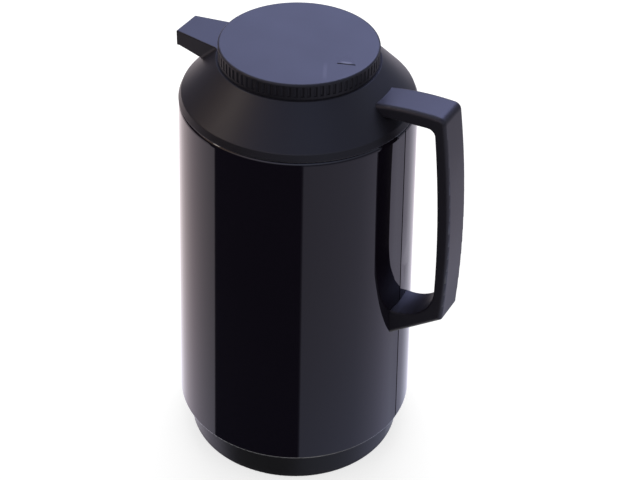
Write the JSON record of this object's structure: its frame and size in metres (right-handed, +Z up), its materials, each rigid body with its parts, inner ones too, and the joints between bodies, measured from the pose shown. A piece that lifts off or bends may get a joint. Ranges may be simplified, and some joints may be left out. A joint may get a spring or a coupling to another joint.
{
  "type": "insulated serving carafe",
  "caption": "Insulated serving carafe with a tapered jacket, sloping shoulder, flared pouring spout, strap handle and a fluted screw-in stopper lid.",
  "frame": {"origin": "centre of the foot ring's standing face, on the axis of the body", "axes": "+Z up along the body's axis, +X towards the handle, -X towards the spout"},
  "size_m": [0.175, 0.144, 0.2703],
  "materials": {
    "jacket_paint": "gloss",
    "black_plastic": "satin",
    "pale_plastic": "satin",
    "foam": "matt",
    "silicone": "matt",
    "spacer_pad": "matt",
    "silvered_glass": "polished",
    "zinc_steel": "plated"
  },
  "bodies": {
    "body": {"jacket": "jacket_paint", "collar": "black_plastic", "handle": "black_plastic", "foot_ring": "black_plastic", "base_cap": "black_plastic", "neck_gasket": "silicone", "base_cap_gasket": "silicone", "flask_cushion": "silicone", "flask_tip_guard": "silicone", "flask_spacers": "spacer_pad", "flask_inner": "silvered_glass", "flask_outer": "silvered_glass", "handle_plate": "zinc_steel", "handle_upper_screw": "zinc_steel", "handle_lower_screw": "zinc_steel"},
    "lift": {"stopper_seal": "silicone"},
    "lid": {"lid_cap": "black_plastic", "stopper_body": "pale_plastic", "stopper_plug": "pale_plastic", "stopper_foam": "foam", "stopper_o_ring": "silicone"}
  },
  "joints": [
    {"name": "lid_lift", "type": "slide", "parent": "body", "child": "lift", "axis": [0, 0, 1], "range_m": [0, 0.0601]},
    {"name": "lid_turn", "type": "hinge", "parent": "lift", "child": "lid", "pos_m": [0, 0, 0.26], "axis": [0, 0, 1], "range_deg": [0, 1080]}
  ],
  "couplings": [
    {"joint": "lid_lift", "follows": "lid_turn", "m_per_rad": 0.0031831}
  ]
}
